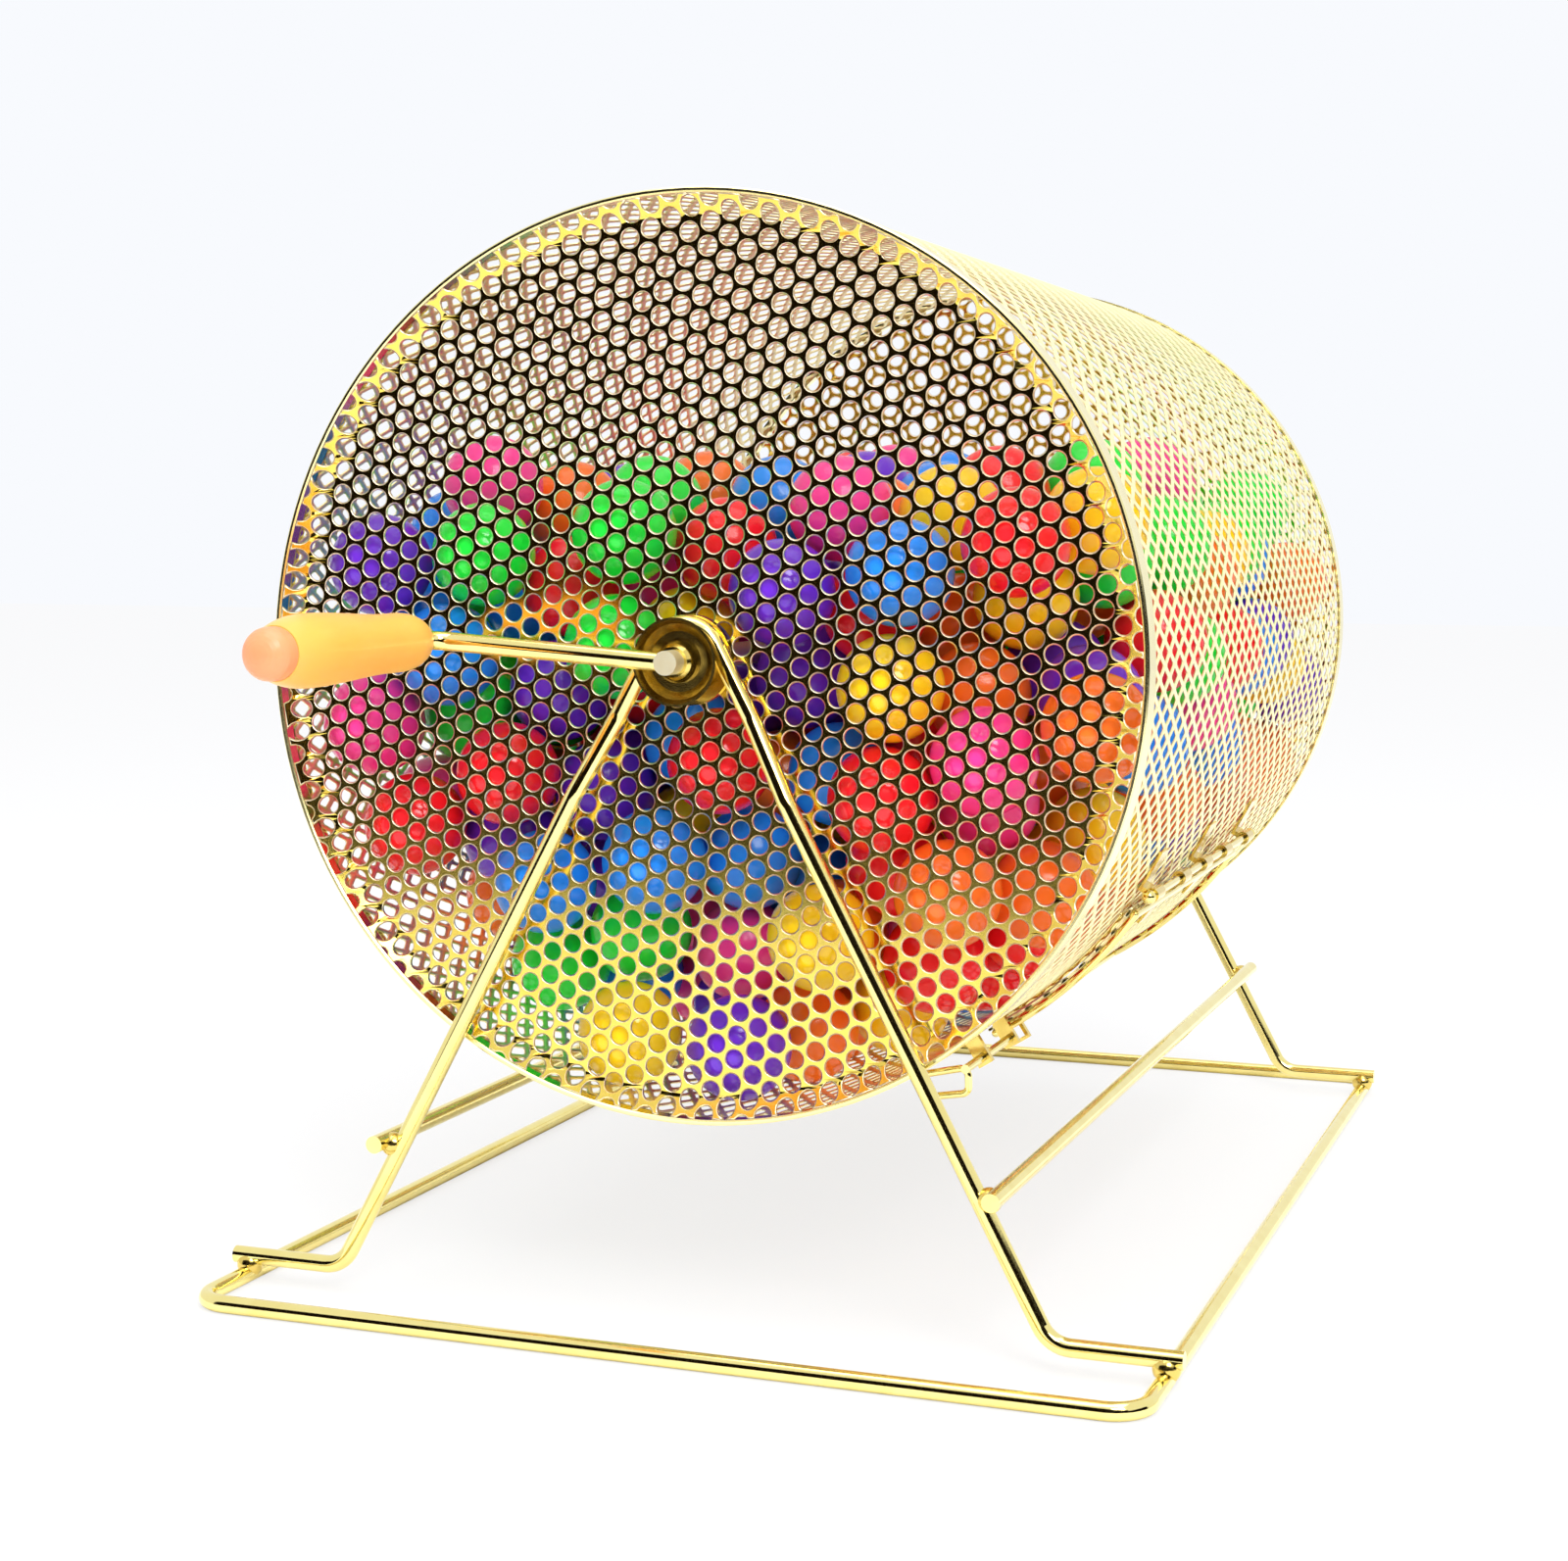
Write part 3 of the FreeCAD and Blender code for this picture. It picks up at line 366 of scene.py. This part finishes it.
def perforated_sheet(name, centre_y, outward):
    edge = sheet_outer - EDGE_ROUND
    bite = HOLE_RADIUS + EDGE_ROUND
    full, cut = [], []
    for x, z in hole_centres(edge + bite * BORDER_REACH):
        away = math.hypot(x, z)
        if away < edge - bite - CUT_GAP:
            full.append((x, z))
        else:
            push = max(1.0, (edge - bite + CUT_PUSH) / away)
            cut.append((x * push, z * push))
    curve = bpy.data.curves.new(name + "_outline", "CURVE")
    curve.dimensions = "2D"
    curve.fill_mode = "BOTH"
    curve.bevel_depth = EDGE_ROUND
    curve.bevel_resolution = 0
    add_loop(curve, cut_outline(edge, bite, cut))
    add_loop(curve, ring_points(0, 0, AXLE_HOLE_RADIUS + EDGE_ROUND, AXLE_HOLE_SIDES))
    for x, z in full:
        add_loop(curve, ring_points(x, z, bite, HOLE_SIDES))
    flat = bpy.data.objects.new(name + "_flat", curve)
    bpy.context.scene.collection.objects.link(flat)
    bpy.context.view_layer.update()
    mesh = bpy.data.meshes.new_from_object(flat.evaluated_get(bpy.context.evaluated_depsgraph_get()))
    bpy.data.objects.remove(flat)
    mesh.materials.clear()
    mesh.materials.append(plated_sheet)
    # The second finish, for the rounded hole edges, carries the painted highlight.
    mesh.materials.append(rim_painted_highlight)
    for face in mesh.polygons:
        rounded = abs(face.normal.z) < FLAT_FACE
        flange = math.hypot(face.center.x, face.center.y) > FLANGE_START
        face.use_smooth = rounded or flange
        face.material_index = 1 if rounded else 0
    flatten = sheet_thickness / 2 / EDGE_ROUND
    for vertex in mesh.vertices:
        x, z, depth = vertex.co
        lift = max(0.0, math.hypot(x, z) - FLANGE_START) * FLANGE_SLOPE
        vertex.co = (axle.x + x, centre_y + depth * flatten + outward * lift, axle.z + z)
    mesh.flip_normals()
    mesh.update()
    piece = bpy.data.objects.new(name, mesh)
    bpy.context.scene.collection.objects.link(piece)
    print(name, "full holes", len(full), "cut holes", len(cut), "faces", len(mesh.polygons))
    return piece


for node_name, low, high, outward in (("front_end_sheet", sheet_low, sheet_high, -1),
                                      ("rear_end_sheet", rear_low, rear_high, 1)):
    punched = perforated_sheet(node_name.replace("sheet", "punched_sheet"), (low.y + high.y) / 2, outward)
    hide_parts(node_name)
    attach(punched, "drum")

# %% [markdown]
# The wall is expanded metal: a sheet that is slit and pulled, so it opens into diamonds with no waste, and is then
# rolled flat. Here the diamonds are 15.4 mm long and 8.3 mm wide with strands 1.9 mm wide. One function lays
# diamonds on the cylinder. Each has an outline on the strands' centre lines and a blunt-cornered opening, and the
# opening's edge is a little lower, which rounds the strand. A transparent texture would be lighter, but it would
# have no thickness when seen from the side.

# %% Expanded metal mesh
DIAMOND_LENGTH = 15.4 * MM
DIAMONDS_ROUND = 116
STRAND_WIDTH = 1.9 * MM
STRAND_ROUND = 0.2 * MM
WALL_THICKNESS = 0.9 * MM
TIP_CUT = 0.16
SIDE_CUT = 0.14
WELD_REACH = 0.01 * MM


def diamond_shape(half_long, half_short):
    """Outline corners and opening points of one diamond, going round the same way."""
    lean = math.atan2(half_short, half_long)
    a = half_long - STRAND_WIDTH / 2 / math.sin(lean)
    b = half_short - STRAND_WIDTH / 2 / math.cos(lean)
    outline = [(half_long, 0), (0, half_short), (-half_long, 0), (0, -half_short)]
    tip, side = TIP_CUT, SIDE_CUT
    opening = [((1 - tip) * a, -tip * b), ((1 - tip) * a, tip * b), (side * a, (1 - side) * b),
               (-side * a, (1 - side) * b), (-(1 - tip) * a, tip * b), (-(1 - tip) * a, -tip * b),
               (-side * a, -(1 - side) * b), (side * a, -(1 - side) * b)]
    return outline, opening


def diamond_skin(name, outer_radius, centres, half_long, half_short, fit):
    """Mesh of diamonds. Centres are (y, arc) on the cylinder, and fit moves a point to the piece's border."""
    outline, opening = diamond_shape(half_long, half_short)
    vertices = []
    faces = []

    def place(y, arc, radius):
        y, arc = fit(y, arc)
        turn = arc / outer_radius
        vertices.append((axle.x + radius * math.cos(turn), y, axle.z + radius * math.sin(turn)))
        return len(vertices) - 1

    inner_radius = outer_radius - WALL_THICKNESS
    for y, arc in centres:
        rings = []
        for radius, shape in ((outer_radius, outline), (outer_radius - STRAND_ROUND, opening),
                              (inner_radius + STRAND_ROUND, opening), (inner_radius, outline)):
            rings.append([place(y + dy, arc + da, radius) for dy, da in shape])
        top, upper, lower, bottom = rings
        for k in range(4):
            first, second = upper[2 * k + 1], upper[(2 * k + 2) % 8]
            faces.append((top[k], top[(k + 1) % 4], second, first))
            faces.append((top[k], first, upper[2 * k]))
            first, second = lower[2 * k + 1], lower[(2 * k + 2) % 8]
            faces.append((first, second, bottom[(k + 1) % 4], bottom[k]))
            faces.append((lower[2 * k], first, bottom[k]))
        for k in range(8):
            faces.append((upper[k], upper[(k + 1) % 8], lower[(k + 1) % 8], lower[k]))
    mesh = bpy.data.meshes.new(name)
    mesh.from_pydata(vertices, [], faces)
    mesh.validate()
    mesh.materials.append(plated_mesh)
    mesh.update()
    for face in mesh.polygons:
        face.use_smooth = True
    piece = bpy.data.objects.new(name, mesh)
    bpy.context.scene.collection.objects.link(piece)
    weld = piece.modifiers.new("weld", "WELD")
    weld.merge_threshold = WELD_REACH
    print(name, "diamonds", len(centres), "faces", len(faces))
    return piece


# %% [markdown]
# A long door opens in the wall. Its place round the drum is an arc, so the angles of the door panel's and the
# surround wire's points are turned into lengths along the curved wall.

# %% Where the door opening is
surround_low, surround_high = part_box("door_surround")
panel_low, panel_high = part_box("door_panel")
panel_outer = 0.0
panel_angles = []
for vertex in nodes["door_panel"].data.vertices:
    offset = vertex.co - axle
    panel_outer = max(panel_outer, math.hypot(offset.x, offset.z))
    panel_angles.append(math.atan2(offset.z, offset.x))
surround_angles = [math.atan2(v.co.z - axle.z, v.co.x - axle.x) for v in nodes["door_surround"].data.vertices]
open_top = max(surround_angles) * wall_outer
open_bottom = min(surround_angles) * wall_outer
print("opening arcs", round(open_top / MM, 1), round(open_bottom / MM, 1),
      "panel radius", round(panel_outer / MM, 2))

# %% [markdown]
# The wall's diamonds run right round the drum and leave the opening free. A point that would fall past the wall's
# ends or into the opening is moved to the nearest border, as if the mesh had been cut there. The wall is made as
# four bands along the drum, so that no piece grows too large.

# %% Wall skin in four bands
BANDS = 4
half_long = DIAMOND_LENGTH / 2
half_short = 2 * math.pi * wall_outer / DIAMONDS_ROUND / 2


def fit_wall(y, arc):
    y = min(max(y, wall_low.y), wall_high.y)
    inside_y = surround_low.y < y < surround_high.y
    inside_arc = open_bottom < arc < open_top
    if inside_y and inside_arc:
        to_front, to_rear = y - surround_low.y, surround_high.y - y
        to_top, to_bottom = open_top - arc, arc - open_bottom
        nearest = min(to_front, to_rear, to_top, to_bottom)
        if nearest == to_front:
            y = surround_low.y
        elif nearest == to_rear:
            y = surround_high.y
        elif nearest == to_top:
            arc = open_top
        else:
            arc = open_bottom
    return y, arc


def wall_centres():
    rows = int((wall_high.y - wall_low.y) / half_long) + 1
    centres = []
    for row in range(rows + 1):
        y = wall_low.y + row * half_long
        for column in range(DIAMONDS_ROUND):
            arc = (2 * column + row % 2) * half_short - math.pi * wall_outer
            inside = surround_low.y < y < surround_high.y and open_bottom < arc < open_top
            if y < wall_high.y + half_long / 2 and not inside:
                centres.append((y, arc))
    return centres


all_centres = wall_centres()
band_length = (wall_high.y - wall_low.y) / BANDS
for band in range(BANDS):
    start = wall_low.y + band * band_length
    end = start + band_length if band < BANDS - 1 else wall_high.y + 1
    chosen = [centre for centre in all_centres if start <= centre[0] < end]
    skin = diamond_skin("wall_mesh_" + str(band + 1), wall_outer, chosen, half_long, half_short, fit_wall)
    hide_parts("drum_wall")
    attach(skin, "drum")
print("diamonds in the wall", len(all_centres))

# %% [markdown]
# The door is a piece of the same mesh, bent to a slightly larger radius because it closes over the wall. It rides
# on the door's own body, so it swings with its frame.

# %% Door skin
panel_top = max(panel_angles) * panel_outer
panel_bottom = min(panel_angles) * panel_outer


def fit_panel(y, arc):
    return min(max(y, panel_low.y), panel_high.y), min(max(arc, panel_bottom), panel_top)


door_centres = []
for row in range(int((panel_high.y - panel_low.y) / half_long) + 2):
    y = panel_low.y + row * half_long
    for column in range(-DIAMONDS_ROUND, 1):
        arc = (2 * column + row % 2) * half_short * panel_outer / wall_outer
        if panel_bottom - half_short < arc < panel_top + half_short and y < panel_high.y + half_long / 2:
            door_centres.append((y, arc))
door_skin = diamond_skin("door_mesh", panel_outer, door_centres, half_long,
                         half_short * panel_outer / wall_outer, fit_panel)
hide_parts("door_panel")
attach(door_skin, "door")

# %% [markdown]
# Mirror-like plating shows what stands round it, so the room matters as much as the metal. The room is an even
# white, slightly cool. Camera rays see a fixed pale backdrop, so that its tone can be set by itself.

# %% World
ROOM_LIGHT = (0.97, 0.98, 1.0, 1)
scene = bpy.context.scene
world = bpy.data.worlds.new("white_studio")
scene.world = world
world.use_nodes = True
sky = world.node_tree
sky.nodes.clear()
sky_out = add_node(sky, "ShaderNodeOutputWorld")
path = add_node(sky, "ShaderNodeLightPath")
backdrop = add_node(sky, "ShaderNodeMix", {"data_type": "RGBA"},
                    {"Factor": path.outputs["Is Camera Ray"], "A": ROOM_LIGHT, "B": linear("#F8FAFE")})
glow = add_node(sky, "ShaderNodeBackground", None, {"Color": backdrop.outputs["Result"], "Strength": 1.0})
sky.links.new(glow.outputs["Background"], sky_out.inputs["Surface"])
print("room light", ROOM_LIGHT[:3])

# %% [markdown]
# The table is a white paper sweep. It is plain matt paper that takes the drum's soft shadow. For camera rays three
# quarters of it is a fixed white, so it fades into the backdrop and the shadow stays faint.

# %% Floor
FLOOR_REACH = 6.0
FIXED_WHITE = 0.75


def floor_material():
    material, tree, output = new_material("white_paper_sweep")
    rays = add_node(tree, "ShaderNodeLightPath")
    paper = add_node(tree, "ShaderNodeBsdfDiffuse", None, {"Color": linear("#F7F7F7")})
    white = add_node(tree, "ShaderNodeEmission", None, {"Color": linear("#FBFBFC"), "Strength": 1.0})
    share = add_node(tree, "ShaderNodeMath", {"operation": "MULTIPLY"},
                     {0: rays.outputs["Is Camera Ray"], 1: FIXED_WHITE})
    mix = add_node(tree, "ShaderNodeMixShader", None,
                   {"Fac": share.outputs["Value"], 1: paper.outputs["BSDF"], 2: white.outputs["Emission"]})
    tree.links.new(mix.outputs["Shader"], output.inputs["Surface"])
    return material


def flat_mesh(name, corners, material):
    mesh = bpy.data.meshes.new(name)
    mesh.from_pydata(corners, [], [(0, 1, 2, 3)])
    mesh.materials.append(material)
    piece = bpy.data.objects.new(name, mesh)
    scene.collection.objects.link(piece)
    return piece


floor = flat_mesh("floor", [(-FLOOR_REACH, -FLOOR_REACH, 0), (FLOOR_REACH, -FLOOR_REACH, 0),
                            (FLOOR_REACH, FLOOR_REACH, 0), (-FLOOR_REACH, FLOOR_REACH, 0)], floor_material())
print("floor reach in m", FLOOR_REACH)

# %% [markdown]
# Two large softboxes light the drum: one overhead and one to the front right. Large lamps give soft shadows and
# broad highlights along the wires. Their power is in watts, and is low because the white room lights the drum too.

# %% Lamps
DRUM_MIDDLE = (0, 0, 0.2)


def add_lamp(name, place, size, power):
    light = bpy.data.lights.new(name, "AREA")
    light.shape = "SQUARE"
    light.size = size
    light.energy = power
    lamp = bpy.data.objects.new(name, light)
    lamp.location = place
    lamp.rotation_euler = (Vector(DRUM_MIDDLE) - Vector(place)).to_track_quat("-Z", "Y").to_euler()
    scene.collection.objects.link(lamp)
    print(name, "watts", power, "size in m", size)


add_lamp("overhead_softbox", (0.1, -0.3, 1.8), 1.4, 14)
add_lamp("key_softbox", (1.0, -1.5, 1.5), 0.9, 26)

# %% [markdown]
# In a studio the side behind the camera is dark. Mirrored in the punched sheet it makes the strips between the
# holes nearly black, which no lamp could do. Two sheets of black cloth stand there. Only glossy rays meet them, so
# they darken reflections and cast no shadow.

# %% The dark side of the studio
CLOTH_Y = -1.05
CLOTH_LEFT = -1.1
CLOTH_RIGHT = 1.3
CLOTH_HEIGHT = 0.75
SIDE_CLOTH_END_Y = 0.1
SIDE_CLOTH_HEIGHT = 0.5


def black_cloth():
    material, tree, output = new_material("matt_black_cloth")
    weave = add_node(tree, "ShaderNodeTexNoise", None, {"Scale": 400.0})
    tint = add_node(tree, "ShaderNodeMix", {"data_type": "RGBA"},
                    {"Factor": weave.outputs["Fac"], "A": linear("#0C0806"), "B": linear("#1A120C")})
    cloth = add_node(tree, "ShaderNodeEmission", None, {"Color": tint.outputs["Result"], "Strength": 1.0})
    tree.links.new(cloth.outputs["Emission"], output.inputs["Surface"])
    return material


def dark_card(name, corners, cloth):
    card = flat_mesh(name, corners, cloth)
    card.visible_camera = False
    card.visible_diffuse = False
    card.visible_transmission = False
    card.visible_shadow = False


cloth = black_cloth()
dark_card("black_cloth_behind_camera", [(CLOTH_LEFT, CLOTH_Y, 0.0), (CLOTH_RIGHT, CLOTH_Y, 0.0),
                                        (CLOTH_RIGHT, CLOTH_Y, CLOTH_HEIGHT),
                                        (CLOTH_LEFT, CLOTH_Y, CLOTH_HEIGHT)], cloth)
dark_card("black_cloth_on_the_right", [(CLOTH_RIGHT, CLOTH_Y, 0.0), (CLOTH_RIGHT, SIDE_CLOTH_END_Y, 0.0),
                                       (CLOTH_RIGHT, SIDE_CLOTH_END_Y, SIDE_CLOTH_HEIGHT),
                                       (CLOTH_RIGHT, CLOTH_Y, SIDE_CLOTH_HEIGHT)], cloth)
print("cloth height in m", CLOTH_HEIGHT)

# %% [markdown]
# The camera stands to the right of the crank end, a little above the axle, about 0.8 m from the front rim. The lens
# is 61 mm on a 36 mm wide film. The image centre lies off the middle of the picture, so the lens is shifted a
# little.

# %% Camera
IMAGE_WIDTH = 1600
IMAGE_HEIGHT = 1593
FOCAL_PX = 2699.3
CENTRE_PX = (768.1, 704.4)
FILM_WIDTH_MM = 36.0
CAMERA_YAW = math.radians(20.516)
CAMERA_PITCH = math.radians(3.688)
CAMERA_ROLL = math.radians(-0.095)
CAMERA_X = 0.32424
CAMERA_FROM_RIM = 0.80331
CAMERA_ABOVE_AXLE = 0.04613
camera_data = bpy.data.cameras.new("studio_camera")
camera_data.sensor_width = FILM_WIDTH_MM
camera_data.lens = FILM_WIDTH_MM * FOCAL_PX / IMAGE_WIDTH
camera_data.shift_x = (IMAGE_WIDTH / 2 - CENTRE_PX[0]) / IMAGE_WIDTH
camera_data.shift_y = (CENTRE_PX[1] - IMAGE_HEIGHT / 2) / IMAGE_WIDTH
camera = bpy.data.objects.new("studio_camera", camera_data)
front_rim_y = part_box("front_rim")[0].y
camera.location = (CAMERA_X, front_rim_y - CAMERA_FROM_RIM, axle.z + CAMERA_ABOVE_AXLE)
camera.rotation_mode = "XYZ"
camera.rotation_euler = (math.pi / 2 - CAMERA_PITCH, CAMERA_ROLL, CAMERA_YAW)
scene.collection.objects.link(camera)
scene.camera = camera
scene.view_settings.view_transform = "Standard"
print("lens in mm", round(camera_data.lens, 1))
